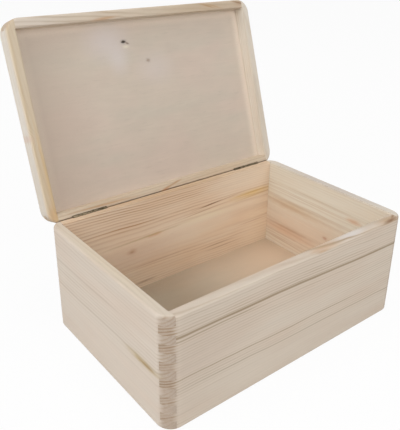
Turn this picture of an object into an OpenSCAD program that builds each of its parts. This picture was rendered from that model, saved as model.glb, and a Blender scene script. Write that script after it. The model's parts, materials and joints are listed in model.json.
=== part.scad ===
// Hinged keepsake box of plain pine with finger-jointed, rounded corners.
// The lid stands open, stopped by the bevels on the two back edges.
// Millimetres. +Z is up, the front faces -Y, and the origin is the middle of the underside.

/* [Body] */
// Length of the box, left to right
box_l = 300; // [240:1:360]
// Depth of the box, front to back
box_w = 200; // [160:1:260]
// Height of the body without the lid
body_h = 113; // [90:1:150]
// Thickness of the body's walls
wall_t = 10.5; // [9:0.5:13]
// Radius of the outer vertical corners
corner_r = 15; // [14:1:20]
// Rounding of the outer edges at the rims and the lid's top
edge_r = 2.5; // [1.5:0.5:3]
// Rounding of the outer edges at the base
base_r = 1.5; // [0.5:0.5:2.5]
// Rounding of the inner edges at the rims
rim_r = 0.8; // [0.4:0.1:1]

/* [Lid] */
// Height of the lid
lid_h = 19; // [17:1:26]
// Thickness of the lid's rails
rail_t = 10; // [9:0.5:13]
// Angle between the closed and the open lid
open_angle = 107.5; // [100:0.5:110]
// Gap between the two rims while the lid is closed
rim_gap = 0.2; // [0.1:0.1:0.4]
// Gap between the two back bevels while the lid is open, where they come closest
stop_gap = 0.04; // [0.02:0.01:0.1]
// How much flatter each bevel is than the open lid needs, so that they meet at the back face
bevel_relief = 5; // [0:1:8]

/* [Finger joints] */
// Fingers up each corner of the body, an odd number
body_fingers = 13; // [7:2:15]
// Fingers up each corner of the lid, an odd number
lid_fingers = 3; // [1:2:3]
// Glue line between two neighbouring fingers
finger_gap = 0.06; // [0.02:0.02:0.1]

/* [Panels] */
// Thickness of the floor and of the lid's panel
panel_t = 6; // [4:0.5:7]
// How far a panel reaches under the walls
panel_lap = 5; // [3:0.5:6]
// Corner radius of a panel
panel_r = 6; // [3:1:10]
// Gap round the edge of a panel
panel_gap = 0.1; // [0.05:0.05:0.2]

/* [Hinges] */
// Length of a hinge
hinge_l = 38; // [30:1:44]
// Distance from the end of the box to the middle of a hinge
hinge_from_end = 44; // [40:1:60]
// Distance from the back face to the hinge axis
axis_inset = 3; // [2.8:0.1:3.4]
// Radius of the knuckles
knuckle_r = 1.5; // [1.4:0.1:1.8]
// Knuckles on a hinge, an even number, shared by its two leaves
knuckles = 4; // [2:2:6]
// Gap between two neighbouring knuckles
knuckle_gap = 0.4; // [0.2:0.1:0.6]
// Bevel at both ends of a knuckle
knuckle_ease = 0.3; // [0.1:0.1:0.4]
// Radius of the pin
pin_r = 0.6; // [0.5:0.1:0.7]
// Running clearance of the pin in the lid's leaf
pin_clear = 0.05; // [0.02:0.01:0.1]
// Radius of the pin's heads
pin_head_r = 1; // [0.8:0.1:1.2]
// Thickness of the pin's heads
pin_head_l = 0.3; // [0.2:0.1:0.5]
// Thickness of a leaf
leaf_t = 0.8; // [0.6:0.1:0.9]
// Distance from the hinge axis to the free edge of a leaf
leaf_w = 12.5; // [11:0.5:13]
// Radius of a leaf's free corners
leaf_r = 2; // [1:0.5:3]
// Gap between the hinge and the sides of the pockets cut for it
pocket_gap = 0.2; // [0.1:0.1:0.5]

/* [Screws] */
// Distance between the two screws of a leaf
screw_span = 22; // [16:1:24]
// Distance from the hinge axis to the screws
screw_drop = 8.2; // [7.5:0.1:8.6]
// Length of a screw
screw_l = 6.5; // [5.5:0.5:7]
// Radius of a screw's shank
shank_r = 1; // [0.8:0.1:1.1]
// Radius of a screw's head
head_r = 2; // [1.7:0.1:2.2]
// Height of a screw's head, less than the thickness of a leaf
head_l = 0.5; // [0.4:0.1:0.5]
// Length of a screw's tip
tip_l = 1.6; // [1:0.1:2.2]
// Radius at the end of a screw's tip
tip_r = 0.2; // [0.1:0.1:0.4]
// Length of each slot of the cross recess
recess_l = 2; // [1.6:0.1:2.2]
// Width of each slot of the cross recess
recess_w = 0.5; // [0.3:0.1:0.6]
// Depth of the cross recess
recess_d = 0.25; // [0.15:0.05:0.3]

/* [Hidden] */
$fn = 96;

// Turns that carry a board to the front, right, back and left of the box
FRONT = 0;
RIGHT = 90;
BACK = 180;
LEFT = 270;

// Turns of the two slots of a cross recess
RECESS_TURNS = [45, 135];

pine = "#d8c3a5";
end_grain_pine = "#cbb08c";
sheet = "#c3ab8f";
metal = "#9a958c";

// Longer than the box, for cutters that run past it
reach = 2 * (box_l + box_w);
// How far the smaller cutters run past a face
over = 1;

// The hinge axis runs along X
axis_y = box_w / 2 - axis_inset;
axis_z = body_h + rim_gap / 2;
bevel_angle = open_angle / 2;
// Length of the line from the hinge axis down to where the bevels meet at the back face
bevel_l = axis_inset / cos(bevel_angle);

hinge_x = box_l / 2 - hinge_from_end;
knuckle_pitch = hinge_l / knuckles;
// The leaf's outer face, behind the axis
leaf_back = knuckle_r;
leaf_front = knuckle_r - leaf_t;
// A knuckle's tab is this much narrower than the knuckle at each end
tab_inset = 1.5 * knuckle_ease;
// The plates start where the folded leaves no longer cross
plate_start = knuckle_r * tan(bevel_angle) + pocket_gap / 2;
// Depth of the pocket under the knuckles and the crossing leaves
pocket_d = plate_start + pocket_gap / 2;

// ---------------------------------------------------------------- boards

// A quarter of a disc, in the first quadrant
module quarter(r) {
    intersection() {
        circle(r);
        square(r);
    }
}

// What rounding takes off a corner at the origin whose wood lies towards +X and -Y.
// It runs past the faces, towards -X as far as it is told.
module rounding(r, run) {
    difference() {
        translate([-run, -r]) square([r + run, r + over]);
        translate([r, -r]) circle(r);
    }
}

// Section of a board, outer face at x = 0, with its two outer edges rounded
module board_section(thick, high, top_r, foot_r) {
    difference() {
        square([thick, high]);
        translate([0, high]) rounding(top_r, over);
        mirror([0, 1]) rounding(foot_r, over);
    }
}

// Rounded end of a board: the stretch of the outer corner that lies in its thickness
module board_end(long, thick, high, top_r, foot_r) {
    difference() {
        translate([long / 2 - corner_r, corner_r, 0])
            rotate([0, 0, 270])
                rotate_extrude(angle = 90)
                    translate([corner_r, 0])
                        mirror([1, 0])
                            board_section(corner_r, high, top_r, foot_r);
        translate([0, thick, -over]) cube([long, corner_r, high + 2 * over]);
    }
}

// Board along X with its outer face at y = 0 and its rounded ends at x = +-long / 2
module board(long, thick, high, top_r, foot_r) {
    straight = long - 2 * corner_r;
    translate([-straight / 2, 0, 0])
        rotate([90, 0, 90])
            linear_extrude(straight)
                board_section(thick, high, top_r, foot_r);
    board_end(long, thick, high, top_r, foot_r);
    mirror([1, 0, 0]) board_end(long, thick, high, top_r, foot_r);
}

// Slots at both ends of a board, one for every other finger, starting at the given one
module finger_slots(long, thick, high, count, first) {
    pitch = high / count;
    for (side = [-1, 1], i = [first : 2 : count - 1]) {
        x = side > 0 ? long / 2 - thick : -long / 2 - over;
        low = i == 0 ? -over : i * pitch - finger_gap / 2;
        top = i == count - 1 ? high + over : (i + 1) * pitch + finger_gap / 2;
        translate([x, -over, low]) cube([thick + over, thick + 2 * over, top - low]);
    }
}

// Carries a board from the front of the box to one of its four sides
module to_side(turn) {
    half = turn == FRONT || turn == BACK ? box_w / 2 : box_l / 2;
    rotate([0, 0, turn]) translate([0, -half, 0]) children();
}

// Slab with rounded corners, resting on z = 0, over the inner opening and its lap
module panel_slab(thick, lap, r, high) {
    l = box_l - 2 * thick + 2 * lap;
    w = box_w - 2 * thick + 2 * lap;
    linear_extrude(high) {
        square([l - 2 * r, w], center = true);
        for (side = [-1, 1]) {
            translate([side * (l / 2 - r / 2), 0]) square([r, w - 2 * r], center = true);
            translate([side * (l / 2 - r), w / 2 - r]) rotate(side > 0 ? 0 : 90) quarter(r);
            translate([side * (l / 2 - r), r - w / 2]) rotate(side > 0 ? 270 : 180) quarter(r);
        }
    }
}

// Cutter that rounds the inner edges of a rim whose face is z = 0 and looks up
module rim_ease(thick) {
    inner_l = box_l - 2 * thick;
    inner_w = box_w - 2 * thick;
    for (turn = [FRONT, RIGHT, BACK, LEFT]) {
        along = turn == FRONT || turn == BACK ? inner_l : inner_w;
        across = turn == FRONT || turn == BACK ? inner_w : inner_l;
        rotate([0, 0, turn]) {
            translate([along / 2, across / 2, 0])
                rotate([90, 0, 270]) linear_extrude(along) rounding(rim_r, over);
            translate([along / 2, across / 2, 0])
                rotate_extrude(angle = 90) rounding(rim_r, 0);
        }
    }
}

// ---------------------------------------------------------------- hinge fittings

// Carries a shape from the hinge axis of one hinge to its place on the closed box
module at_hinge(side) {
    translate([side * hinge_x, axis_y, axis_z]) children();
}

// Turns a lid piece from its closed to its open place
module opened() {
    translate([0, axis_y, axis_z])
        rotate([-open_angle, 0, 0])
            translate([0, -axis_y, -axis_z])
                children();
}

// Half space over the bevel of the body, about the hinge axis
module bevel_cut() {
    rotate([-bevel_angle, 0, 0])
        translate([0, bevel_l, -stop_gap / 2])
            rotate([bevel_relief, 0, 0])
                translate([-reach / 2, -reach / 2, 0])
                    cube([reach, reach, reach]);
}

// Pocket for the pin and its knuckles, and the shallower one for a leaf, below the hinge axis
module hinge_pocket() {
    leaf_wide = hinge_l + 2 * pocket_gap;
    wide = leaf_wide + 2 * pin_head_l;
    translate([-wide / 2, -knuckle_r - pocket_gap, -pocket_d])
        cube([wide, reach, pocket_d + over]);
    translate([-leaf_wide / 2, leaf_front, -leaf_w - pocket_gap])
        cube([leaf_wide, reach, leaf_w + pocket_gap]);
}

// Everything that is cut from the back edge of the body, about the hinge axis
module back_edge_cut() {
    translate([0, axis_y, axis_z]) bevel_cut();
    for (side = [-1, 1]) at_hinge(side) hinge_pocket();
}

// The same for the lid, which lies above the axis while it is closed
module lid_back_edge_cut() {
    translate([0, 0, 2 * axis_z]) mirror([0, 0, 1]) back_edge_cut();
}

// Round solid along +Z from half its outline, whose points are radius and height
module turned(outline) {
    rotate_extrude() polygon(outline);
}

// One knuckle with the tab that joins it to its plate
module knuckle(index) {
    wide = knuckle_pitch - knuckle_gap;
    x = -hinge_l / 2 + index * knuckle_pitch + knuckle_gap / 2;
    eased_r = knuckle_r - knuckle_ease;
    translate([x, 0, 0])
        rotate([0, 90, 0])
            turned([
                [0, 0], [eased_r, 0], [knuckle_r, knuckle_ease],
                [knuckle_r, wide - knuckle_ease], [eased_r, wide], [0, wide]
            ]);
    translate([x + tab_inset, leaf_front, -plate_start - over])
        cube([wide - 2 * tab_inset, leaf_t, plate_start + over]);
}

// Outline of a leaf's plate, rounded at its free corners
module plate_outline() {
    high = leaf_w - plate_start;
    translate([-hinge_l / 2, -plate_start - high + leaf_r]) square([hinge_l, high - leaf_r]);
    translate([-hinge_l / 2 + leaf_r, -leaf_w]) square([hinge_l - 2 * leaf_r, leaf_r]);
    for (side = [-1, 1])
        translate([side * (hinge_l / 2 - leaf_r), leaf_r - leaf_w])
            rotate(side > 0 ? 270 : 180)
                quarter(leaf_r);
}

// Half outline of a screw's shank and tip, from the given height on
function shank_outline(start) = [
    [shank_r, start], [shank_r, screw_l - tip_l], [tip_r, screw_l], [0, screw_l]
];

// Screw with a flush conical head, its head's face at y = 0, pointing to -Y
module screw_body() {
    rotate([90, 0, 0]) turned(concat([[0, 0], [head_r, 0]], shank_outline(head_l)));
}

// What a screw cuts from the wood behind its leaf
module screw_bore() {
    rotate([90, 0, 0]) turned(concat([[0, 0]], shank_outline(0)));
}

// What a screw cuts from its leaf, running past both faces
module screw_hole() {
    cone_r = head_r + over * (head_r - shank_r) / head_l;
    rotate([90, 0, 0])
        turned([
            [0, -over], [cone_r, -over], [shank_r, head_l],
            [shank_r, leaf_t + over], [0, leaf_t + over]
        ]);
}

// The two screws of a leaf that hangs below the hinge axis
module screw_places() {
    for (side = [-1, 1])
        translate([side * screw_span / 2, leaf_back, -screw_drop]) children();
}

module screw_pair() {
    screw_places()
        difference() {
            screw_body();
            for (turn = RECESS_TURNS)
                rotate([0, turn, 0])
                    cube([recess_l, 2 * recess_d, recess_w], center = true);
        }
}

// Leaf that hangs below the axis and holds every other knuckle, starting at the given one
module leaf(first, bore_r) {
    difference() {
        union() {
            translate([0, leaf_back, 0])
                rotate([90, 0, 0])
                    linear_extrude(leaf_t)
                        plate_outline();
            for (i = [first : 2 : knuckles - 1]) knuckle(i);
        }
        rod(-hinge_l, 2 * hinge_l, bore_r);
        screw_places() screw_hole();
    }
}

// Cylinder along +X, from the given x on
module rod(x, long, r) {
    translate([x, 0, 0]) rotate([0, 90, 0]) cylinder(h = long, r = r);
}

// Pin with a small head at each end, the far one clear of the turning knuckle
module pin() {
    near = -hinge_l / 2 + knuckle_gap / 2;
    far = hinge_l / 2;
    rod(near - pin_head_l / 2, far - near + pin_head_l, pin_r);
    rod(near - pin_head_l, pin_head_l, pin_head_r);
    rod(far, pin_head_l, pin_head_r);
}

// ---------------------------------------------------------------- body

// One wall of the body: a board less the other boards' fingers, the floor's rabbet and the rim's rounding
module wall(turn) {
    long = turn == FRONT || turn == BACK ? box_l : box_w;
    first = turn == FRONT || turn == BACK ? 0 : 1;
    difference() {
        to_side(turn)
            difference() {
                board(long, wall_t, body_h, edge_r, base_r);
                finger_slots(long, wall_t, body_h, body_fingers, first);
            }
        translate([0, 0, -over]) panel_slab(wall_t, panel_lap, panel_r, panel_t + over);
        translate([0, 0, body_h]) rim_ease(wall_t);
    }
}

module front_wall() {
    color(pine) wall(FRONT);
}

module back_wall() {
    color(pine)
        difference() {
            wall(BACK);
            back_edge_cut();
            for (side = [-1, 1]) at_hinge(side) screw_places() screw_bore();
        }
}

module side_wall(turn) {
    color(end_grain_pine)
        difference() {
            wall(turn);
            back_edge_cut();
        }
}

module left_wall() {
    side_wall(LEFT);
}

module right_wall() {
    side_wall(RIGHT);
}

module bottom_panel() {
    color(sheet) panel_slab(wall_t, panel_lap - panel_gap, panel_r - panel_gap, panel_t);
}

// ---------------------------------------------------------------- lid

// Carries a lid piece from z = 0 to its closed place on the body
module on_rim() {
    translate([0, 0, body_h + rim_gap]) children();
}

// One rail of the closed lid: a board less fingers, the panel's rabbet and the rim's rounding
module rail(turn) {
    long = turn == FRONT || turn == BACK ? box_l : box_w;
    first = turn == FRONT || turn == BACK ? 0 : 1;
    on_rim()
        difference() {
            to_side(turn)
                difference() {
                    board(long, rail_t, lid_h, edge_r, edge_r);
                    finger_slots(long, rail_t, lid_h, lid_fingers, first);
                }
            translate([0, 0, lid_h - panel_t])
                panel_slab(rail_t, panel_lap, panel_r, panel_t + over);
            mirror([0, 0, 1]) rim_ease(rail_t);
        }
}

module lid_front_rail() {
    color(pine) opened() rail(FRONT);
}

module lid_back_rail() {
    color(pine)
        opened()
            difference() {
                rail(BACK);
                lid_back_edge_cut();
                for (side = [-1, 1]) at_hinge(side) mirror([0, 0, 1]) screw_places() screw_bore();
            }
}

module lid_side_rail(turn) {
    color(end_grain_pine)
        opened()
            difference() {
                rail(turn);
                lid_back_edge_cut();
            }
}

module lid_left_rail() {
    lid_side_rail(LEFT);
}

module lid_right_rail() {
    lid_side_rail(RIGHT);
}

module lid_panel() {
    color(sheet)
        opened()
            on_rim()
                translate([0, 0, lid_h - panel_t])
                    panel_slab(rail_t, panel_lap - panel_gap, panel_r - panel_gap, panel_t);
}

// ---------------------------------------------------------------- hinges

module box_leaf(side) {
    color(metal) at_hinge(side) leaf(0, pin_r);
}

module lid_leaf(side) {
    color(metal) opened() at_hinge(side) mirror([0, 0, 1]) leaf(1, pin_r + pin_clear);
}

module hinge_pin(side) {
    color(metal) at_hinge(side) pin();
}

module box_screws(side) {
    color(metal) at_hinge(side) screw_pair();
}

module lid_screws(side) {
    color(metal) opened() at_hinge(side) mirror([0, 0, 1]) screw_pair();
}

front_wall();
back_wall();
left_wall();
right_wall();
bottom_panel();
lid_front_rail();
lid_back_rail();
lid_left_rail();
lid_right_rail();
lid_panel();
box_leaf(-1);  // left_box_leaf
lid_leaf(-1);  // left_lid_leaf
hinge_pin(-1);  // left_pin
box_screws(-1);  // left_box_screws
lid_screws(-1);  // left_lid_screws
box_leaf(1);  // right_box_leaf
lid_leaf(1);  // right_lid_leaf
hinge_pin(1);  // right_pin
box_screws(1);  // right_box_screws
lid_screws(1);  // right_lid_screws
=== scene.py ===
"""A hinged keepsake box of plain, unfinished pine, standing open in a white studio.

The boards, panels and hinges come as solids. This script gives each of them its finish: every board
is a solid piece of pine with its own heart, growth rings, knots and stains, laid out in millimetres
along the board's length, up its face and out through its thickness. Some boards and panels also
carry painted light and shade: pale strips against shadow, dark lines in creases and darkened rims.
"""

import json
import logging
import math
from dataclasses import dataclass
from enum import Enum
from functools import partial
from typing import ClassVar

import bpy
from mathutils import Matrix, Vector


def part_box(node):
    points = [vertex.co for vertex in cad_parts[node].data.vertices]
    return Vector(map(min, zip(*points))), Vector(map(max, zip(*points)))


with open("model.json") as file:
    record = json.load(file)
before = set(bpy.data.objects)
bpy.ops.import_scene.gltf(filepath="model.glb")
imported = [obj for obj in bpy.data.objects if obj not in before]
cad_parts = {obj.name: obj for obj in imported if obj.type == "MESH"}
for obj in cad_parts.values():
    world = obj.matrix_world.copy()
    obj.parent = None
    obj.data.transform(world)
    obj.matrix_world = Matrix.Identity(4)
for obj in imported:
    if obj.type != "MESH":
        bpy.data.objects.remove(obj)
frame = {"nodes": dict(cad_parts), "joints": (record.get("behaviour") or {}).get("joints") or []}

log = logging.getLogger("keepsake_box")

Rgba = tuple[float, float, float, float]
Triple = tuple[float, float, float]

MM_PER_M = 1000.0
WHITE: Rgba = (1.0, 1.0, 1.0, 1.0)

# The sRGB curve: a straight foot up to a knee, and a power above it
SRGB_TOP = 255.0
SRGB_KNEE = 0.04045
SRGB_FOOT = 12.92
SRGB_LIFT = 0.055
SRGB_POWER = 2.4


def srgb(red: int, green: int, blue: int) -> Rgba:
    """Turn an 8-bit screen colour into the linear colour that a shader takes.

    Args:
        red: Red, 0 to 255.
        green: Green, 0 to 255.
        blue: Blue, 0 to 255.

    Returns:
        The linear colour with full alpha.
    """

    def linear(level: int) -> float:
        """Turn one level, 0 to 255, into its linear share."""
        share = level / SRGB_TOP
        if share <= SRGB_KNEE:
            return share / SRGB_FOOT
        return ((share + SRGB_LIFT) / (1.0 + SRGB_LIFT)) ** SRGB_POWER

    return (linear(red), linear(green), linear(blue), 1.0)


# ---------------------------------------------------------------- shader maths


class Field:
    """A shader socket that carries a number, with Python's operators on it."""

    def __init__(self, tree: "Tree", socket: bpy.types.NodeSocket) -> None:
        """Wrap a socket of a material's tree."""
        self.tree = tree
        self.socket = socket

    def math(self, operation: str, *values: "Field | float") -> "Field":
        """Add a Math node.

        Args:
            operation: The Math node's operation.
            *values: Its inputs, in order.

        Returns:
            The node's result.
        """
        return self.tree.add("ShaderNodeMath", {"operation": operation}, dict(enumerate(values)))

    def __add__(self, other: "Field | float") -> "Field":
        """Add."""
        return self.math("ADD", self, other)

    def __radd__(self, other: float) -> "Field":
        """Add from the left."""
        return self.math("ADD", other, self)

    def __sub__(self, other: "Field | float") -> "Field":
        """Subtract."""
        return self.math("SUBTRACT", self, other)

    def __rsub__(self, other: float) -> "Field":
        """Subtract from a number on the left."""
        return self.math("SUBTRACT", other, self)

    def __mul__(self, other: "Field | float") -> "Field":
        """Multiply."""
        return self.math("MULTIPLY", self, other)

    def __rmul__(self, other: float) -> "Field":
        """Multiply from the left."""
        return self.math("MULTIPLY", other, self)

    def __truediv__(self, other: "Field | float") -> "Field":
        """Divide."""
        return self.math("DIVIDE", self, other)

    def __abs__(self) -> "Field":
        """Drop the sign."""
        return self.math("ABSOLUTE", self)

    def clamped(self) -> "Field":
        """Keep the number between 0 and 1."""
        return self.math("MINIMUM", self.math("MAXIMUM", self, 0.0), 1.0)


class Tree:
    """A node tree that is built by code."""

    def __init__(self, owner: bpy.types.Material | bpy.types.World) -> None:
        """Empty the tree of a new material or world."""
        self.owner = owner
        owner.use_nodes = True
        self.nodes = owner.node_tree.nodes
        self.links = owner.node_tree.links
        self.nodes.clear()

    def add(
        self,
        kind: str,
        settings: dict[str, object] | None = None,
        inputs: dict[int | str, object] | None = None,
        output: int | str = 0,
    ) -> Field:
        """Add any node.

        Args:
            kind: The node's type.
            settings: Its properties, set before its sockets, and a ramp's stops.
            inputs: Values or links of its sockets, by index or name.
            output: The output that is wanted, by index or name.

        Returns:
            That output. A node without outputs gives its first input.
        """
        node = self.nodes.new(kind)
        for key, value in (settings or {}).items():
            if key == "stops":
                self._set_stops(node.color_ramp, value)
            else:
                setattr(node, key, value)
        for key, value in (inputs or {}).items():
            socket = node.inputs[key]
            if isinstance(value, Field):
                self.links.new(value.socket, socket)
            else:
                socket.default_value = value
        return Field(self, node.outputs[output] if len(node.outputs) else node.inputs[0])

    @staticmethod
    def _set_stops(ramp: bpy.types.ColorRamp, stops: list[tuple[float, float]]) -> None:
        """Give a ramp its grey stops, each a position and a level."""
        while len(ramp.elements) < len(stops):
            ramp.elements.new(1.0)
        for element, (position, level) in zip(ramp.elements, stops):
            element.position = position
            element.color = (level, level, level, 1.0)

    def smooth(self, value: Field, low: float, high: float) -> Field:
        """Rise smoothly from 0 to 1 while a number goes from low to high."""
        return self.add(
            "ShaderNodeMapRange",
            {"interpolation_type": "SMOOTHSTEP"},
            {"Value": value, "From Min": low, "From Max": high},
        )

    def fade(self, value: Field, low: float, high: float) -> Field:
        """Fall smoothly from 1 to 0 while a number goes from low to high."""
        return 1.0 - self.smooth(value, low, high)

    def vector(self, operation: str, *values: Field | Triple, output: int | str = 0) -> Field:
        """Add a Vector Math node.

        Args:
            operation: The node's operation.
            *values: Its inputs, in order.
            output: The output that is wanted.

        Returns:
            The node's result.
        """
        return self.add(
            "ShaderNodeVectorMath", {"operation": operation}, dict(enumerate(values)), output
        )

    def scaled(self, colour: Field, amount: Field) -> Field:
        """Brighten or darken a colour by a factor."""
        return self.add(
            "ShaderNodeVectorMath", {"operation": "SCALE"}, {"Vector": colour, "Scale": amount}
        )

    def varied(self, colour: Field, noise: Field, depth: float) -> Field:
        """Brighten and darken a colour with noise, by up to half of the depth each way."""
        return self.scaled(colour, 1.0 - depth / 2 + noise * depth)

    def darkened(self, colour: Field, where: Field, depth: float) -> Field:
        """Darken a colour where a number is high, by up to the depth."""
        return self.scaled(colour, 1.0 - where * depth)

    def mix(self, amount: Field, first: Field | Rgba, second: Rgba) -> Field:
        """Blend two colours.

        Args:
            amount: 0 for the first colour, 1 for the second.
            first: The first colour.
            second: The second colour.

        Returns:
            The blended colour.
        """
        return self.add(
            "ShaderNodeMix",
            {"data_type": "RGBA"},
            {"Factor": amount, 6: first, 7: second},
            output=2,
        )

    def finish(self, colour: Field, roughness: Field, height: Field, **shader: float) -> None:
        """Join a surface to the material's output.

        Args:
            colour: Its base colour.
            roughness: Its roughness.
            height: The height of its relief, in millimetres.
            **shader: Constants for the shader's other sockets, with _ for a space.
        """
        bump = self.add(
            "ShaderNodeBump", None, {"Strength": 1.0, "Distance": 1.0 / MM_PER_M, "Height": height}
        )
        constants = {key.replace("_", " "): value for key, value in shader.items()}
        surface = self.add(
            "ShaderNodeBsdfPrincipled",
            None,
            {"Base Color": colour, "Roughness": roughness, "Normal": bump, **constants},
        )
        self.add("ShaderNodeOutputMaterial", None, {"Surface": surface})


# ---------------------------------------------------------------- finishes


class Trait(Enum):
    """What a mark on a board is."""

    KNOT = "knot"
    STREAK = "streak"
    # Stains, and patches of painted light and shade
    STAIN_AND_PAINTED_LIGHT = "stain_and_painted_light"
    CALM = "calm"
    BOLD = "bold"


# Noise lies about its middle. It frays the edge of a mark, as a share of the mark's size.
NOISE_MIDDLE = 0.5
FRAY = {Trait.STAIN_AND_PAINTED_LIGHT: 0.5, Trait.STREAK: 0.7, Trait.KNOT: 1.1}

# Where each mark's edge starts and ends, as shares of its size
STAIN_AND_PAINTED_LIGHT_EDGE = (0.0, 1.3)
STREAK_EDGE = (0.0, 1.25)
KNOT_EDGE = (0.55, 1.25)
HALO_EDGE = (0.8, 2.2)
CALM_EDGE = (0.4, 1.2)
SWERVE_EDGE = (0.3, 3.2)

# A knot's own rings, and how strong it and its halo are
WHORL_PACE = 15.0
WHORL_DEPTH = 0.14
KNOT_STRENGTH = 0.85
HALO_STRENGTH = 0.22


@dataclass(frozen=True)
class Mark:
    """A knot, a stain, a patch of painted light or shade, or a stretch of faint or strong rings in
    a board.

    Its centre and radii are in millimetres along the board from its middle, up its face from its
    foot, and out through its thickness from its outer face. For each millimetre along, it rises by
    its tilt and moves outwards by its lean.
    """

    trait: Trait
    centre: Triple
    radii: Triple
    tint: Rgba = (0.5, 0.5, 0.5, 1.0)
    strength: float = 1.0
    tilt: float = 0.0
    lean: float = 0.0

    def distance(self, place: "Place") -> Field:
        """Distance from the middle of the mark, as a share of its size."""
        along, up, out = (field - middle for field, middle in zip(place.parts, self.centre))
        if self.tilt:
            up = up - along * self.tilt
        if self.lean:
            out = out - along * self.lean
        steps = [step / radius for step, radius in zip((along, up, out), self.radii)]
        total = steps[0] * steps[0] + steps[1] * steps[1] + steps[2] * steps[2]
        return total.math("SQRT", total)

    def paint(self, colour: Field, place: "Place", rough: Field) -> Field:
        """Paint the mark on the wood: a knot, a streak, a stain, or a patch of painted light or
        shade.

        Args:
            colour: The colour so far.
            place: Where the point lies on the board.
            rough: Noise that frays the mark's edge.

        Returns:
            The colour with the mark.
        """
        tree = colour.tree
        far = self.distance(place) + (rough - NOISE_MIDDLE) * FRAY[self.trait]
        if self.trait is Trait.STAIN_AND_PAINTED_LIGHT:
            share = tree.fade(far, *STAIN_AND_PAINTED_LIGHT_EDGE)
        elif self.trait is Trait.STREAK:
            share = tree.fade(far, *STREAK_EDGE) * (NOISE_MIDDLE + rough)
        else:
            whorl = far.math("SINE", far * WHORL_PACE) * WHORL_DEPTH + (1.0 - WHORL_DEPTH)
            halo = tree.fade(far, *HALO_EDGE) * HALO_STRENGTH
            share = halo + tree.fade(far, *KNOT_EDGE) * whorl * KNOT_STRENGTH
        return tree.mix((share * self.strength).clamped(), colour, self.tint)


knot = partial(Mark, Trait.KNOT)
streak = partial(Mark, Trait.STREAK)
# Marks that paint stains, and patches of painted light and shade
stain_and_painted_light = partial(Mark, Trait.STAIN_AND_PAINTED_LIGHT)
calm = partial(Mark, Trait.CALM)
bold = partial(Mark, Trait.BOLD)


@dataclass(frozen=True)
class Band:
    """One growth ring that is darker than the rest, by where it crosses the board's outer face.

    It fades out where it comes to its reach, to either side of its middle along the board.
    """

    up: float
    width: float
    strength: float
    middle: float = 0.0
    reach: float = 400.0


@dataclass(frozen=True)
class Layer:
    """A layer of noise: its pace along, up and out for each millimetre, its shift and detail."""

    pace: Triple
    shift: float = 0.0
    detail: float = 2.0


# How far a board's seed carries its noise along, up and out
SEED_STEPS = (1.0, 2.3, 5.1)

# Solid pine
FIBRE = Layer((0.02, 0.9, 0.9), detail=3.0)
STREAKS = Layer((0.008, 0.16, 0.16), 3.0, 3.0)
PATCHES = Layer((0.009, 0.035, 0.05), 7.0)
FRAYS = Layer((0.12, 0.5, 0.5), 9.0)
SWAY = Layer((0.007, 0.02, 0.02), 11.0, 1.0)
RIPPLE = Layer((0.03, 0.06, 0.06), 13.0, 1.0)
PORES = Layer((0.05, 1.3, 1.3), 17.0)
FADING = Layer((0.006, 0.02, 0.02), 19.0, 1.0)
BREAKS = Layer((0.022, 0.3, 0.3), 23.0, 1.0)

# Thin sheet
CLOUDS = Layer((0.012, 0.02, 0.02))
DRIFTS = Layer((0.009, 0.03, 0.03), 5.0)
FLAMES = Layer((0.006, 0.05, 0.05), 9.0, 1.0)
MOTTLES = Layer((0.045, 0.07, 0.07), 11.0, 3.0)
FLECKS = Layer((0.07, 0.55, 0.55), 15.0)
SHEET_FIBRE = Layer((0.03, 1.1, 1.1), 21.0, 3.0)
SHEET_FRAYS = Layer((0.5, 0.8, 0.8), 23.0)

# Steel
BLOOM = Layer((0.25, 0.25, 0.25), detail=3.0)
RUB = Layer((0.2, 5.0, 5.0), 4.0)

# How strong the sheen of sanded wood is, where 0.5 is the shader's usual level
WOOD_SPECULAR = 0.35


@dataclass(frozen=True)
class Place:
    """Where a point lies on its board, in millimetres: along, up and out, and all three as one."""

    whole: Field
    parts: tuple[Field, Field, Field]

    @classmethod
    def on(cls, tree: Tree, stock: Matrix) -> "Place":
        """Lay out a board.

        Args:
            tree: The material's tree.
            stock: The matrix from the model's frame to the board's own, in metres.

        Returns:
            The place of each of its points.
        """
        whole = tree.add(
            "ShaderNodeMapping",
            {"vector_type": "POINT"},
            {
                "Vector": tree.add("ShaderNodeTexCoord", output="Object"),
                "Location": stock.translation * MM_PER_M,
                "Rotation": stock.to_euler(),
                "Scale": (MM_PER_M, MM_PER_M, MM_PER_M),
            },
        )
        sockets = tree.add("ShaderNodeSeparateXYZ", None, {0: whole}).socket.node.outputs
        return cls(whole, tuple(Field(tree, socket) for socket in sockets))

    def noise(self, layer: Layer, seed: float) -> Field:
        """Sample smooth noise that is stretched along the board.

        Args:
            layer: Which noise.
            seed: A shift that makes one board unlike the next.

        Returns:
            The noise, about 0.5 on average.
        """
        tree = self.whole.tree
        shift = tuple(step * (seed + layer.shift) for step in SEED_STEPS)
        spot = tree.vector("MULTIPLY_ADD", self.whole, layer.pace, shift)
        sockets = {"Vector": spot, "Scale": 1.0, "Detail": layer.detail}
        return tree.add("ShaderNodeTexNoise", None, sockets)


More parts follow.
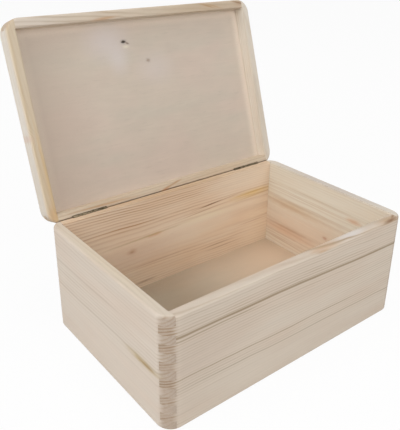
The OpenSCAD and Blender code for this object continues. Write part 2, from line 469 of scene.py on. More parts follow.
@dataclass(frozen=True)
class PineFinish:
    """Sanded, unfinished pine: the heart that its rings run round, their gap and its tones."""

    heart: tuple[float, float]
    seed: float
    ring_gap: float = 2.7
    slope: float = 0.0
    wander: float = 6.0
    contrast: float = 0.5
    early: Rgba = srgb(225, 211, 194)
    late: Rgba = srgb(172, 146, 116)
    blush: Rgba = srgb(221, 199, 180)
    band_tint: Rgba = srgb(140, 116, 86)
    end_tone: Rgba = srgb(134, 108, 86)
    bands: tuple[Band, ...] = ()
    marks: tuple[Mark, ...] = ()

    # One ring from its inside to its outside, as levels of late wood, and the faintest ring
    RING_SHAPE: ClassVar[tuple[tuple[float, float], ...]] = (
        (0.0, 0.3),
        (0.14, 0.0),
        (0.5, 0.1),
        (0.84, 1.0),
        (0.93, 0.9),
        (1.0, 0.3),
    )
    FAINTEST_RING: ClassVar[float] = 0.25
    # How far rings turn aside for a knot, and how far they ripple in millimetres
    SWERVE: ClassVar[float] = 0.7
    RIPPLE_MM: ClassVar[float] = 1.6
    # The share of contrast that is left where rings fade, and where they are broken and whole
    FADED: ClassVar[float] = 0.3
    BROKEN: ClassVar[float] = 0.1
    WHOLE: ClassVar[float] = 2.2
    # The shares of a band's width and reach that are at full strength
    BAND_CORE: ClassVar[float] = 0.2
    BAND_HOLD: ClassVar[float] = 0.6
    # How much more rings show on end grain
    END_CONTRAST: ClassVar[float] = 2.0

    def dress(self, name: str, stock: Matrix) -> bpy.types.Material:
        """Build the material of one board.

        Args:
            name: The material's name.
            stock: The matrix from the model's frame to the board's own, in metres.

        Returns:
            The material.
        """
        tree = Tree(bpy.data.materials.new(name))
        place = Place.on(tree, stock)
        radius = self._ring_radius(tree, place)
        rings = self._rings(tree, radius)
        end = end_share(tree, stock)

        fibre = place.noise(FIBRE, self.seed)
        tone = place.noise(STREAKS, self.seed)
        patch = place.noise(PATCHES, self.seed)
        rough = place.noise(FRAYS, self.seed)
        pore = tree.smooth(place.noise(PORES, self.seed), low=0.62, high=0.8)

        colour = tree.mix(tree.smooth(patch, low=0.35, high=0.75) * 0.6, self.early, self.blush)
        # Stains, and on some boards painted light and shade, go under the rings
        colour = self._paint_marks(colour, place, rough, (Trait.STAIN_AND_PAINTED_LIGHT,))
        lines = rings * self._line_contrast(tree, place) * (1.0 + end * self.END_CONTRAST)
        colour = tree.mix(lines.clamped(), colour, self.late)
        colour = self._add_bands(tree, colour, place, radius)
        colour = tree.varied(colour, tone, depth=0.1)
        colour = tree.varied(colour, fibre, depth=0.07)
        colour = tree.darkened(colour, pore, depth=0.08)
        colour = self._paint_marks(colour, place, rough, (Trait.KNOT, Trait.STREAK))
        colour = tree.mix(end * (0.3 + fibre * 0.35), colour, self.end_tone)

        height = fibre * 0.03 + rings * 0.02 - pore * 0.02 + end * fibre * 0.04
        tree.finish(colour, 0.6 + tone * 0.14, height, Specular_IOR_Level=WOOD_SPECULAR)
        return tree.owner

    def _paint_marks(
        self, colour: Field, place: Place, rough: Field, traits: tuple[Trait, ...]
    ) -> Field:
        """Paint its marks of some kinds on the wood, in their order: knots, streaks, stains and
        patches of painted light and shade.

        Args:
            colour: The colour so far.
            place: Where the point lies on the board.
            rough: Noise that frays the marks' edges.
            traits: The kinds of mark.

        Returns:
            The colour with those marks.
        """
        for mark in self.marks:
            if mark.trait in traits:
                colour = mark.paint(colour, place, rough)
        return colour

    def _ring_radius(self, tree: Tree, place: Place) -> Field:
        """Distance from the heart, which wavers along the board and swerves round its knots.

        Args:
            tree: The material's tree.
            place: Where the point lies on the board.

        Returns:
            The distance in millimetres.
        """
        along, up, out = place.parts
        for mark in self.marks:
            if mark.trait is Trait.KNOT:
                reach = tree.fade(mark.distance(place), *SWERVE_EDGE)
                up = up - (up - mark.centre[1]) * reach * self.SWERVE
        sway = place.noise(SWAY, self.seed) - NOISE_MIDDLE
        ripple = place.noise(RIPPLE, self.seed) - NOISE_MIDDLE
        level = up - self.heart[0] - along * self.slope
        rise = level + sway * self.wander + ripple * self.RIPPLE_MM
        depth = out - self.heart[1]
        square = rise * rise + depth * depth
        return square.math("SQRT", square)

    def _rings(self, tree: Tree, radius: Field) -> Field:
        """How dark each place is as late wood: a slow rise and a sharp edge on every ring.

        Args:
            tree: The material's tree.
            radius: Distance from the heart.

        Returns:
            0 for early wood to 1 for the latest wood of a strong ring.
        """
        count = radius / self.ring_gap
        ring = count.math("FLOOR", count)
        turn = count.math("FRACT", count)
        shape = tree.add("ShaderNodeValToRGB", {"stops": self.RING_SHAPE}, {"Fac": turn})
        chance = tree.add(
            "ShaderNodeTexWhiteNoise", {"noise_dimensions": "1D"}, {"W": ring + self.seed}
        )
        return shape * (self.FAINTEST_RING + chance * (1.0 - self.FAINTEST_RING))

    def _line_contrast(self, tree: Tree, place: Place) -> Field:
        """How strongly the rings show, fainter in calm stretches and stronger in bold ones.

        Args:
            tree: The material's tree.
            place: Where the point lies on the board.

        Returns:
            The share of late wood in a full ring.
        """
        fading = place.noise(FADING, self.seed)
        broken = place.noise(BREAKS, self.seed)
        contrast = self.contrast * (self.FADED + fading * (1.0 - self.FADED))
        contrast = contrast * (self.BROKEN + broken * self.WHOLE)
        for mark in self.marks:
            near = tree.fade(mark.distance(place), *CALM_EDGE)
            if mark.trait is Trait.CALM:
                contrast = contrast * (1.0 - near * mark.strength)
            elif mark.trait is Trait.BOLD:
                contrast = contrast * (1.0 + near * mark.strength)
        return contrast

    def _add_bands(self, tree: Tree, colour: Field, place: Place, radius: Field) -> Field:
        """Darken the rings that stand out from the rest.

        Args:
            tree: The material's tree.
            colour: The colour so far.
            place: Where the point lies on the board.
            radius: Distance from the heart.

        Returns:
            The colour with the bands.
        """
        for band in self.bands:
            ring = math.hypot(band.up - self.heart[0], self.heart[1])
            share = tree.fade(abs(radius - ring), band.width * self.BAND_CORE, band.width)
            away = abs(place.parts[0] - band.middle)
            beyond = tree.smooth(away, band.reach * self.BAND_HOLD, band.reach)
            colour = tree.mix(share * (1.0 - beyond) * band.strength, colour, self.band_tint)
        return colour


@dataclass(frozen=True)
class SheetFinish:
    """Thin sanded sheet with a peeled face: soft clouds, faint flames and short flecks.

    Its marks, stains and patches of painted light and shade, are placed along, across and up, from
    the middle of the panel's side of the box.
    """

    seed: float
    base: Rgba
    cool: Rgba
    warm: Rgba
    marks: tuple[Mark, ...] = ()

    # How many lines the flames fall into
    FLAME_LINES: ClassVar[float] = 26.0

    def dress(self, name: str, stock: Matrix) -> bpy.types.Material:
        """Build the material of one panel.

        Args:
            name: The material's name.
            stock: The matrix from the model's frame to the panel's own, in metres.

        Returns:
            The material.
        """
        tree = Tree(bpy.data.materials.new(name))
        place = Place.on(tree, stock)
        cloud = place.noise(CLOUDS, self.seed)
        drift = place.noise(DRIFTS, self.seed)
        mottle = place.noise(MOTTLES, self.seed)
        flame = place.noise(FLAMES, self.seed) * self.FLAME_LINES
        lines = abs(flame.math("SINE", flame))
        fleck = tree.smooth(place.noise(FLECKS, self.seed), low=0.56, high=0.78)
        fibre = place.noise(SHEET_FIBRE, self.seed)
        rough = place.noise(SHEET_FRAYS, self.seed)

        colour = tree.mix(tree.smooth(cloud, low=0.35, high=0.7) * 0.6, self.base, self.warm)
        colour = tree.mix(tree.smooth(drift, low=0.45, high=0.75) * 0.5, colour, self.cool)
        colour = tree.varied(colour, mottle, depth=0.1)
        colour = tree.darkened(colour, lines, depth=0.02)
        colour = tree.darkened(colour, fleck, depth=0.06)
        colour = tree.varied(colour, fibre, depth=0.03)
        # Stains, knots and patches of painted light and shade
        for mark in self.marks:
            colour = mark.paint(colour, place, rough)
        height = fibre * 0.02
        tree.finish(colour, 0.6 + cloud * 0.1, height, Specular_IOR_Level=WOOD_SPECULAR)
        return tree.owner


@dataclass(frozen=True)
class SteelFinish:
    """Dull plated steel, a little tarnished."""

    bright: Rgba
    tarnish: Rgba
    roughness: float
    seed: float

    def dress(self, name: str) -> bpy.types.Material:
        """Build the metal's material.

        Args:
            name: The material's name.

        Returns:
            The material.
        """
        tree = Tree(bpy.data.materials.new(name))
        place = Place.on(tree, Matrix.Identity(4))
        bloom = place.noise(BLOOM, self.seed)
        rub = place.noise(RUB, self.seed)
        colour = tree.mix(tree.smooth(bloom, low=0.4, high=0.7), self.bright, self.tarnish)
        roughness = self.roughness + bloom * 0.2 + rub * 0.1
        tree.finish(colour, roughness, rub * 0.01, Metallic=1.0)
        return tree.owner


def end_share(tree: Tree, stock: Matrix) -> Field:
    """How squarely the surface cuts the grain.

    Args:
        tree: The material's tree.
        stock: The matrix from the model's frame to the board's own.

    Returns:
        0 on long grain to 1 on end grain.
    """
    grain = stock.to_3x3().inverted() @ Vector((1.0, 0.0, 0.0))
    normal = tree.add("ShaderNodeTexCoord", output="Normal")
    facing = tree.vector("DOT_PRODUCT", normal, tuple(grain), output="Value")
    return tree.smooth(abs(facing), low=0.1, high=0.6)


# ---------------------------------------------------------------- sub-assemblies


class Side(Enum):
    """A side of the box, as the turn in degrees that carries a front board there."""

    FRONT = 0
    RIGHT = 90
    BACK = 180
    LEFT = 270


def give(node: str, material: bpy.types.Material) -> None:
    """Put one material on every slot of a solid and log it."""
    for material_slot in frame["nodes"][node].material_slots:
        material_slot.material = material
    log.info("dressed %s in %s", node, material.name)


def facing_out(side: Side, length: float, depth: float, foot: float) -> Matrix:
    """Lay a board of the closed box flat: along, up from its foot, and out from its outer face.

    Args:
        side: The board's side.
        length: Length of the box.
        depth: Depth of the box.
        foot: Height of the board's foot.

    Returns:
        The matrix from the closed model's frame to the board's.
    """
    half = (depth if side in (Side.FRONT, Side.BACK) else length) / 2
    turn = Matrix.Rotation(-math.radians(side.value), 4, "Z")
    stand = Matrix.Rotation(-math.pi / 2, 4, "X")
    return Matrix.Translation((0.0, -foot, -half)) @ stand @ turn


@dataclass
class BoxBody:
    """The open body: four finger-jointed walls round a sheet floor."""

    length: float
    depth: float
    finishes: dict[str, tuple[Side, PineFinish]]
    floor: SheetFinish

    def dress(self) -> None:
        """Dress the walls and the floor."""
        for node, (side, finish) in self.finishes.items():
            give(node, finish.dress(f"{node}_pine", facing_out(side, self.length, self.depth, 0.0)))
        give("bottom_panel", self.floor.dress("floor_sheet", Matrix.Identity(4)))


@dataclass
class BoxLid:
    """The framed lid, which is dressed as if it were closed."""

    length: float
    depth: float
    foot: float
    pivot: Vector
    open_turn: float
    finishes: dict[str, tuple[Side, PineFinish]]
    panel: SheetFinish

    def closing(self) -> Matrix:
        """The turn about the hinge axis that would close the open lid."""
        there = Matrix.Translation(self.pivot)
        return there @ Matrix.Rotation(self.open_turn, 4, "X") @ there.inverted()

    def dress(self) -> None:
        """Dress the rails and the panel."""
        closing = self.closing()
        for node, (side, finish) in self.finishes.items():
            stock = facing_out(side, self.length, self.depth, self.foot) @ closing
            give(node, finish.dress(f"{node}_pine", stock))
        lifted = Matrix.Translation((0.0, 0.0, -self.foot))
        give("lid_panel", self.panel.dress("lid_sheet", lifted @ closing))


@dataclass
class ButtHinges:
    """The two hinges with their pins and screws."""

    sides: tuple[str, ...]
    leaf: SteelFinish
    screw: SteelFinish

    def dress(self) -> None:
        """Dress every piece of both hinges."""
        leaf = self.leaf.dress("hinge_steel")
        screw = self.screw.dress("screw_steel")
        for side in self.sides:
            for piece in ("box_leaf", "lid_leaf", "pin"):
                give(f"{side}_{piece}", leaf)
            for piece in ("box_screws", "lid_screws"):
                give(f"{side}_{piece}", screw)


# ---------------------------------------------------------------- studio


@dataclass(frozen=True)
class Lamp:
    """A white soft box that looks at the middle of the object."""

    name: str
    place: Triple
    size: float
    power: float


@dataclass(frozen=True)
class Viewpoint:
    """Where the camera stands and what it takes in, with its frame in pixels."""

    azimuth: float = -39.35
    elevation: float = 23.88
    roll: float = 1.16
    eye: Triple = (-0.3577, -0.4072, 0.3871)
    focus_px: float = 603.4
    centre_px: tuple[float, float] = (213.6, 187.2)
    frame_px: tuple[int, int] = (400, 430)


@dataclass
class Studio:
    """A white floor and backdrop, soft lamps and the camera."""

    viewpoint: Viewpoint
    lamps: tuple[Lamp, ...]
    ambient: float
    aim: Triple = (0.0, 0.03, 0.12)
    floor_size: float = 12.0
    floor_drop: float = 0.0002
    floor_tone: float = 0.8
    floor_glow: float = 0.95
    sensor: float = 36.0
    clip_m: tuple[float, float] = (0.01, 100.0)

    def build(self) -> None:
        """Make the floor, the world, the lamps and the camera."""
        self._floor()
        self._world()
        for lamp in self.lamps:
            self._lamp(lamp)
        self._camera()
        bpy.context.scene.view_settings.view_transform = "Standard"

    def _floor(self) -> None:
        """Lay a pale floor that goes white to the camera and keeps a soft shadow."""
        half = self.floor_size / 2
        low = -self.floor_drop
        corners = [(-half, -half, low), (half, -half, low), (half, half, low), (-half, half, low)]
        mesh = bpy.data.meshes.new("studio_floor")
        mesh.from_pydata(corners, [], [(0, 1, 2, 3)])
        floor = bpy.data.objects.new("studio_floor", mesh)
        bpy.context.scene.collection.objects.link(floor)
        tree = Tree(bpy.data.materials.new("studio_white"))
        matt = tree.add("ShaderNodeBsdfDiffuse", None, {"Color": (self.floor_tone,) * 3 + (1.0,)})
        white = tree.add("ShaderNodeEmission", None, {"Strength": 1.0})
        seen = self._seen_straight(tree)
        both = tree.add("ShaderNodeMixShader", None, {0: seen * self.floor_glow, 1: matt, 2: white})
        tree.add("ShaderNodeOutputMaterial", None, {"Surface": both})
        mesh.materials.append(tree.owner)

    @staticmethod
    def _seen_straight(tree: Tree) -> Field:
        """1 for rays from the camera or off a gloss, 0 for the light that falls on the object."""
        path = tree.add("ShaderNodeLightPath").socket.node.outputs
        camera, gloss, glass = (
            Field(tree, path[name])
            for name in ("Is Camera Ray", "Is Glossy Ray", "Is Transmission Ray")
        )
        return (camera + gloss + glass).clamped()

    def _world(self) -> None:
        """Light the scene evenly from all round, with a white backdrop."""
        world = bpy.data.worlds.new("studio_world")
        bpy.context.scene.world = world
        tree = Tree(world)
        lit = tree.add("ShaderNodeBackground", None, {"Color": WHITE, "Strength": self.ambient})
        white = tree.add("ShaderNodeBackground", None, {"Color": WHITE, "Strength": 1.0})
        seen = self._seen_straight(tree)
        both = tree.add("ShaderNodeMixShader", None, {0: seen, 1: lit, 2: white})
        tree.add("ShaderNodeOutputWorld", None, {"Surface": both})

    def _lamp(self, lamp: Lamp) -> None:
        """Hang one soft box, turned to the object."""
        data = bpy.data.lights.new(lamp.name, "AREA")
        data.shape = "SQUARE"
        data.size = lamp.size
        data.energy = lamp.power
        box = bpy.data.objects.new(lamp.name, data)
        box.location = lamp.place
        ray = Vector(self.aim) - Vector(lamp.place)
        box.rotation_euler = ray.to_track_quat("-Z", "Y").to_euler()
        bpy.context.scene.collection.objects.link(box)

    def _camera(self) -> None:
        """Stand the camera where the photograph was taken from."""
        view = self.viewpoint
        azimuth, elevation = math.radians(view.azimuth), math.radians(view.elevation)
        back = Vector(
            (
                math.sin(azimuth) * math.cos(elevation),
                -math.cos(azimuth) * math.cos(elevation),
                math.sin(elevation),
            )
        )
        right = Vector((0.0, 0.0, 1.0)).cross(back).normalized()
        right = Matrix.Rotation(math.radians(view.roll), 3, back) @ right
        up = back.cross(right)
        wide, high = view.frame_px
        data = bpy.data.cameras.new("camera")
        data.sensor_width = self.sensor
        data.lens = self.sensor * view.focus_px / max(wide, high)
        data.shift_x = (wide / 2 - view.centre_px[0]) / max(wide, high)
        data.shift_y = (view.centre_px[1] - high / 2) / max(wide, high)
        data.clip_start, data.clip_end = self.clip_m
        camera = bpy.data.objects.new("camera", data)
        turn = Matrix((right, up, back)).transposed().to_4x4()
        camera.matrix_world = Matrix.Translation(view.eye) @ turn
        bpy.context.scene.collection.objects.link(camera)
        bpy.context.scene.camera = camera


# ---------------------------------------------------------------- this box

# The inner face of a wall, out from its outer one, and the inner faces of the two panels, upwards
INNER = -10.5
PANEL_FACE = 13.0
FLOOR_FACE = 6.0

FRONT_WALL = PineFinish(
    heart=(-150.0, 70.0),
    seed=1.0,
    slope=-0.03,
    contrast=0.62,
    early=srgb(212, 199, 183),
    late=srgb(163, 139, 110),
    blush=srgb(207, 187, 169),
    band_tint=srgb(132, 111, 76),
    bands=(
        Band(88.6, 1.7, 0.7),
        Band(84.6, 1.1, 0.45, middle=-110.0, reach=66.0),
        Band(45.4, 0.9, 0.42, middle=-40.0, reach=150.0),
        Band(33.8, 0.9, 0.4, middle=20.0, reach=170.0),
    ),
    marks=(
        calm((0.0, 8.0, -5.0), (190.0, 44.0, 60.0), strength=0.75),
        calm((-60.0, 62.0, -5.0), (130.0, 18.0, 60.0), strength=0.4),
        bold((0.0, 110.0, -5.0), (200.0, 30.0, 60.0), strength=0.6),
        stain_and_painted_light((-128.0, 70.0, -5.0), (70.0, 60.0, 12.0), srgb(198, 182, 167), 0.6),
        stain_and_painted_light((126.0, 112.0, -4.0), (20.0, 3.4, 6.0), srgb(190, 158, 122), 0.8),
        streak((128.0, 112.4, -1.2), (15.0, 1.8, 3.0), srgb(122, 88, 58), 0.85, lean=-0.1),
        streak((136.0, 113.0, -5.0), (7.0, 2.4, 2.0), srgb(140, 106, 74), 0.7, lean=-0.4),
        stain_and_painted_light((32.0, 113.0, -5.0), (22.0, 2.4, 7.0), srgb(204, 168, 134), 0.75, lean=0.1),
        streak((22.0, 112.0, -2.0), (14.0, 1.8, 2.4), srgb(176, 138, 102), 0.6, lean=0.15),
        stain_and_painted_light((72.0, 113.0, -6.0), (22.0, 2.4, 7.0), srgb(222, 215, 210), 0.8),
    ),
)

LEFT_WALL = PineFinish(
    heart=(-110.0, -150.0),
    seed=2.0,
    ring_gap=3.1,
    slope=0.01,
    wander=9.0,
    contrast=0.26,
    early=srgb(210, 198, 184),
    late=srgb(162, 136, 106),
    blush=srgb(209, 191, 175),
    bands=(Band(82.0, 1.4, 0.18, middle=-40.0, reach=80.0), Band(55.0, 1.3, 0.2)),
    marks=(
        calm((0.0, 18.0, 0.0), (150.0, 40.0, 60.0), strength=0.6),
        stain_and_painted_light((0.0, 113.0, -6.0), (120.0, 3.0, 8.0), srgb(216, 202, 178), 0.7),
        stain_and_painted_light((67.0, 54.0, 0.0), (30.0, 4.6, 6.0), srgb(186, 164, 118), 0.75),
        streak((72.0, 53.4, 0.0), (17.0, 2.0, 4.0), srgb(146, 116, 72), 0.75),
    ),
)

# Its early and blush tones are pale, partly as painted light on its shaded inner face
BACK_WALL = PineFinish(
    heart=(58.0, -52.0),
    seed=3.0,
    ring_gap=2.2,
    slope=0.02,
    wander=9.0,
    contrast=0.8,
    early=srgb(239, 220, 197),
    late=srgb(186, 138, 98),
    blush=srgb(232, 200, 168),
    marks=(
        # Painted shade: darkens the lit rim back down from the wall's pale tones
        stain_and_painted_light((0.0, 113.4, -7.0), (230.0, 2.4, 7.0), srgb(196, 170, 140), 1.0),
        # Painted shade: a dark line along the back edge of the rim, in the crease under the lid's
        # back rail
        stain_and_painted_light((0.0, 112.4, -1.6), (600.0, 2.6, 2.7), srgb(76, 48, 20), 1.0),
        stain_and_painted_light((70.0, 84.0, INNER), (70.0, 30.0, 6.0), srgb(226, 190, 156), 0.4),
        stain_and_painted_light((-128.0, 32.0, INNER), (36.0, 38.0, 6.0), srgb(252, 232, 206), 0.8),
        calm((-125.0, 24.0, INNER), (40.0, 24.0, 60.0), strength=0.5),
        calm((0.0, 54.0, INNER), (170.0, 22.0, 60.0), strength=0.8),
        calm((30.0, 22.0, INNER), (170.0, 18.0, 60.0), strength=0.45),
        calm((-100.0, 100.0, INNER), (60.0, 22.0, 60.0), strength=0.6),
        bold((70.0, 104.0, INNER), (110.0, 22.0, 60.0), strength=0.7),
        stain_and_painted_light((54.0, 50.0, INNER), (70.0, 20.0, 6.0), srgb(222, 186, 160), 0.45),
        stain_and_painted_light((-40.0, 70.0, INNER), (50.0, 7.0, 6.0), srgb(240, 226, 196), 0.5),
        stain_and_painted_light((-112.0, 79.0, INNER), (40.0, 6.0, 6.0), srgb(232, 200, 136), 0.75),
        streak((-110.0, 80.4, INNER), (38.0, 1.2, 4.0), srgb(206, 164, 98), 0.6, -0.02),
        streak((-112.0, 75.0, INNER), (36.0, 1.0, 4.0), srgb(200, 156, 100), 0.5, -0.03),
        streak((-57.0, 82.4, INNER), (50.0, 0.9, 4.0), srgb(184, 134, 90), 0.65, -0.06),
        streak((-46.0, 82.0, INNER), (17.0, 1.0, 4.0), srgb(126, 84, 52), 0.95, -0.07),
        streak((-33.0, 76.4, INNER), (42.0, 0.9, 4.0), srgb(178, 132, 88), 0.6, -0.05),
        streak((45.0, 68.0, INNER), (62.0, 1.5, 4.0), srgb(184, 154, 104), 0.55, -0.02),
        stain_and_painted_light((33.0, 67.4, INNER), (13.0, 2.6, 4.0), srgb(214, 156, 102), 0.5),
        stain_and_painted_light((63.0, 55.6, INNER), (7.0, 4.0, 6.0), srgb(198, 152, 118), 0.55),
        streak((63.6, 55.0, INNER), (3.4, 1.5, 6.0), srgb(164, 118, 86), 0.38),
        streak((-116.0, 39.6, INNER), (32.0, 1.3, 4.0), srgb(192, 146, 114), 0.4),
        streak((30.0, 34.0, INNER), (62.0, 1.0, 4.0), srgb(188, 142, 110), 0.5),
        streak((-58.0, 25.6, INNER), (30.0, 1.1, 4.0), srgb(168, 122, 86), 0.6),
        streak((-64.0, 20.4, INNER), (34.0, 1.1, 4.0), srgb(172, 128, 92), 0.55),
        streak((48.0, 12.6, INNER), (16.0, 1.4, 4.0), srgb(156, 112, 80), 0.6),
    ),
)

RIGHT_WALL = PineFinish(
    heart=(52.0, -54.0),
    seed=4.0,
    ring_gap=2.6,
    wander=9.0,
    contrast=0.55,
    early=srgb(234, 227, 211),
    late=srgb(188, 152, 118),
    blush=srgb(232, 217, 195),
    marks=(
        stain_and_painted_light((0.0, 113.4, -5.0), (160.0, 3.0, 9.0), srgb(202, 192, 182), 1.0),
        calm((0.0, 108.0, INNER), (120.0, 24.0, 60.0), strength=0.6),
        stain_and_painted_light((10.0, 36.0, INNER), (150.0, 38.0, 12.0), srgb(232, 202, 176), 0.65),
        stain_and_painted_light((46.0, 66.0, INNER), (60.0, 6.0, 12.0), srgb(208, 174, 134), 0.6),
        streak((30.0, 71.6, INNER), (86.0, 2.4, 4.0), srgb(186, 150, 108), 0.4),
        streak((10.0, 90.8, INNER), (90.0, 1.5, 4.0), srgb(186, 158, 118), 0.4),
        streak((20.0, 82.6, INNER), (90.0, 1.0, 4.0), srgb(190, 160, 122), 0.4),
        streak((52.0, 35.6, INNER), (50.0, 2.2, 4.0), srgb(178, 130, 96), 0.5),
        stain_and_painted_light((54.0, 31.0, INNER), (52.0, 7.0, 6.0), srgb(220, 172, 134), 0.5),
        streak((62.0, 24.0, INNER), (44.0, 1.1, 4.0), srgb(186, 140, 104), 0.45),
        streak((62.0, 17.6, INNER), (40.0, 1.1, 4.0), srgb(188, 144, 108), 0.4),
        knot((-8.0, 48.2, INNER), (3.2, 2.2, 8.0), srgb(190, 132, 100), 0.55),
        stain_and_painted_light((-46.0, 85.0, INNER), (12.0, 4.0, 6.0), srgb(214, 160, 114), 0.6),
    ),
)

LID_FRONT_RAIL = PineFinish(
    heart=(60.0, -50.0),
    seed=5.0,
    slope=0.05,
    contrast=0.6,
    end_tone=srgb(178, 154, 130),
    early=srgb(209, 197, 180),
    late=srgb(163, 139, 110),
    blush=srgb(205, 186, 165),
    marks=(
        stain_and_painted_light((85.0, 0.0, -5.0), (95.0, 8.0, 12.0), srgb(188, 163, 132), 0.7),
        stain_and_painted_light((-125.0, 0.0, -5.0), (45.0, 8.0, 12.0), srgb(213, 203, 192), 0.6),
        # Painted shade: a thin dark line along the rail's inner edge at its rim, over the recess
        stain_and_painted_light((0.0, 0.4, -10.2), (600.0, 1.3, 0.9), srgb(132, 110, 84), 0.8),
        streak((-46.0, 0.0, -8.0), (18.0, 4.0, 2.0), srgb(184, 144, 106), 0.8, lean=0.06),
        streak((88.0, 0.0, -4.0), (13.0, 4.0, 1.4), srgb(172, 134, 96), 0.85, lean=-0.3),
        streak((98.0, 0.0, -5.0), (13.0, 4.0, 1.2), srgb(182, 146, 110), 0.7, lean=-0.3),
        streak((134.0, 0.0, -3.0), (14.0, 5.0, 1.6), srgb(142, 108, 78), 0.8, lean=-0.25),
        stain_and_painted_light((140.0, 0.0, -5.0), (12.0, 6.0, 6.0), srgb(186, 156, 128), 0.6),
    ),
)

LID_BACK_RAIL = PineFinish(
    heart=(40.0, -60.0),
    seed=6.0,
    slope=-0.03,
    contrast=0.45,
    early=srgb(212, 196, 174),
    late=srgb(168, 134, 100),
    blush=srgb(208, 184, 156),
    marks=(
        # Painted shade: a dark line along the back edge of the rail's rim, in the crease over the
        # back wall
        stain_and_painted_light((0.0, 0.6, -1.6), (600.0, 2.6, 2.7), srgb(76, 48, 20), 1.0),
        stain_and_painted_light((14.0, 0.0, -3.0), (9.0, 6.0, 2.6), srgb(184, 132, 90), 0.95, lean=0.3),
        streak((0.0, 0.0, -7.6), (15.0, 4.0, 1.4), srgb(180, 138, 98), 0.8, lean=0.22),
        streak((90.0, 0.0, -6.6), (48.0, 4.0, 1.3), srgb(184, 140, 98), 0.7, lean=-0.02),
    ),
)

LID_LEFT_RAIL = PineFinish(
    heart=(-50.0, -40.0),
    seed=7.0,
    ring_gap=2.6,
    slope=0.08,
    contrast=0.34,
    early=srgb(207, 191, 167),
    late=srgb(174, 146, 108),
    blush=srgb(205, 184, 158),
    end_tone=srgb(178, 154, 130),
    marks=(
        stain_and_painted_light((0.0, 10.0, 0.0), (300.0, 26.0, 1.7), srgb(225, 220, 213), 0.95),
        stain_and_painted_light((-90.0, 10.0, 0.0), (80.0, 26.0, 1.7), srgb(204, 195, 182), 0.6),
        stain_and_painted_light((-20.0, 0.0, -1.0), (400.0, 3.2, 2.8), srgb(200, 180, 150), 0.85),
        knot((-13.0, 9.5, 0.0), (3.6, 12.0, 4.0), srgb(206, 177, 160), 0.5),
        stain_and_painted_light((-90.0, 0.0, -6.0), (13.0, 8.0, 6.0), srgb(206, 166, 120), 0.7),
        stain_and_painted_light((-70.0, 0.0, -8.0), (60.0, 8.0, 5.0), srgb(206, 176, 130), 0.55),
        streak((-40.0, 0.0, -7.0), (60.0, 8.0, 1.6), srgb(204, 176, 132), 0.6, lean=0.02),
    ),
)

# Its early and blush tones are pale, partly as painted light on its inner face
LID_RIGHT_RAIL = PineFinish(
    heart=(-70.0, -20.0),
    seed=8.0,
    ring_gap=3.0,
    slope=0.03,
    contrast=0.36,
    early=srgb(233, 226, 214),
    late=srgb(186, 160, 128),
    blush=srgb(230, 215, 195),
    end_tone=srgb(178, 154, 130),
    marks=(
        # Painted shade: darkens the rim below the rail's pale tones
        stain_and_painted_light((0.0, 0.0, -5.0), (600.0, 2.0, 12.0), srgb(214, 203, 188), 0.8),
        streak((-60.0, 4.0, INNER), (40.0, 5.0, 1.2), srgb(196, 164, 124), 0.4),
    ),
)

# Its tones are greyer than the lid sheet's, and a little darker as painted shade
FLOOR_SHEET = SheetFinish(
    seed=21.0,
    base=srgb(196, 181, 161),
    cool=srgb(182, 174, 155),
    warm=srgb(201, 177, 151),
    marks=(
        # Painted shade: a dark patch on the left of the floor
        stain_and_painted_light((-42.0, 42.0, FLOOR_FACE), (76.0, 74.0, 9.0), srgb(158, 144, 122), 0.56),
        # Painted light: a warm pale patch on the right of the floor
        stain_and_painted_light((110.0, 50.0, FLOOR_FACE), (110.0, 70.0, 9.0), srgb(214, 189, 163), 0.8),
    ),
)

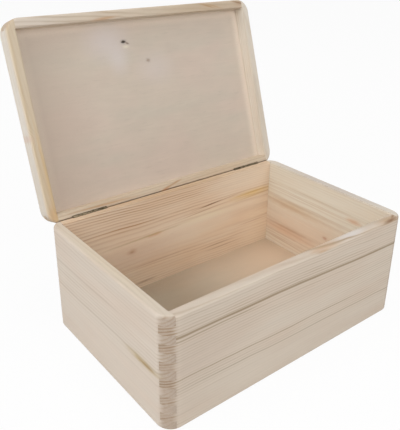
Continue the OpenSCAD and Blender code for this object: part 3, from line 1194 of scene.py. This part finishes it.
LID_SHEET = SheetFinish(
    seed=22.0,
    base=srgb(206, 192, 176),
    cool=srgb(198, 191, 175),
    warm=srgb(210, 190, 176),
    marks=(
        stain_and_painted_light((-122.0, 0.0, PANEL_FACE), (50.0, 150.0, 5.0), srgb(190, 171, 155), 0.55),
        # Painted light: a pale strip along the panel's left edge, where the left rail shades it
        stain_and_painted_light((-136.5, 0.0, PANEL_FACE), (8.5, 600.0, 5.0), srgb(224, 209, 192), 0.75),
        # Painted light: a pale strip along the panel's edge under the front rail, where the rail
        # shades it
        stain_and_painted_light((20.0, -89.0, PANEL_FACE), (900.0, 7.5, 5.0), srgb(227, 211, 194), 0.95),
        stain_and_painted_light((-42.0, -70.0, PANEL_FACE), (30.0, 24.0, 5.0), srgb(213, 203, 198), 0.7),
        stain_and_painted_light((-32.0, -50.0, PANEL_FACE), (14.0, 18.0, 5.0), srgb(215, 205, 201), 0.55),
        stain_and_painted_light((12.0, -36.0, PANEL_FACE), (26.0, 20.0, 5.0), srgb(213, 203, 198), 0.4),
        # Painted light: a pale strip along the panel's right edge, as light thrown off the right
        # rail's inner face
        stain_and_painted_light((140.0, 0.0, PANEL_FACE), (9.0, 600.0, 5.0), srgb(231, 217, 201), 0.9),
        stain_and_painted_light((-20.0, -62.6, PANEL_FACE), (4.6, 2.0, 5.0), srgb(226, 217, 198), 0.8),
        streak((-17.6, -66.0, PANEL_FACE), (2.6, 1.4, 2.4), srgb(104, 82, 62), 0.8, 0.3),
        knot((-22.0, -68.0, PANEL_FACE), (2.7, 1.5, 2.4), srgb(52, 42, 32), 1.2),
        knot((4.4, -45.4, PANEL_FACE), (2.4, 1.8, 2.4), srgb(152, 130, 112), 0.7),
    ),
)

HINGE_STEEL = SteelFinish(
    bright=srgb(122, 110, 90), tarnish=srgb(70, 60, 45), roughness=0.28, seed=31.0
)
SCREW_STEEL = SteelFinish(
    bright=srgb(168, 164, 156), tarnish=srgb(124, 116, 104), roughness=0.26, seed=33.0
)

LAMPS = (
    Lamp("key", (-1.6, -1.0, 1.5), 1.3, 12.0),
    Lamp("front", (0.3, -2.0, 1.2), 1.3, 17.7),
    Lamp("left", (-2.0, 0.1, 0.9), 1.3, 16.2),
    Lamp("top", (0.1, 0.3, 2.4), 1.3, 17.0),
)


def main() -> None:
    """Dress the box and build the studio round it."""
    logging.basicConfig(level=logging.INFO, format="%(message)s")
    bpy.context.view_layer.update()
    joint = frame["joints"][0]
    low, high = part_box("front_wall")
    length = high.x - low.x
    depth = 2 * abs(low.y)
    pivot = Vector(joint["pos_m"])

    body = BoxBody(
        length,
        depth,
        {
            "front_wall": (Side.FRONT, FRONT_WALL),
            "right_wall": (Side.RIGHT, RIGHT_WALL),
            "back_wall": (Side.BACK, BACK_WALL),
            "left_wall": (Side.LEFT, LEFT_WALL),
        },
        FLOOR_SHEET,
    )
    lid = BoxLid(
        length,
        depth,
        pivot.z,
        pivot,
        math.radians(joint["range_deg"][1]),
        {
            "lid_front_rail": (Side.FRONT, LID_FRONT_RAIL),
            "lid_right_rail": (Side.RIGHT, LID_RIGHT_RAIL),
            "lid_back_rail": (Side.BACK, LID_BACK_RAIL),
            "lid_left_rail": (Side.LEFT, LID_LEFT_RAIL),
        },
        LID_SHEET,
    )
    for part in (body, lid, ButtHinges(("left", "right"), HINGE_STEEL, SCREW_STEEL)):
        part.dress()
    Studio(Viewpoint(), LAMPS, ambient=0.27).build()


if __name__ == "__main__":
    main()
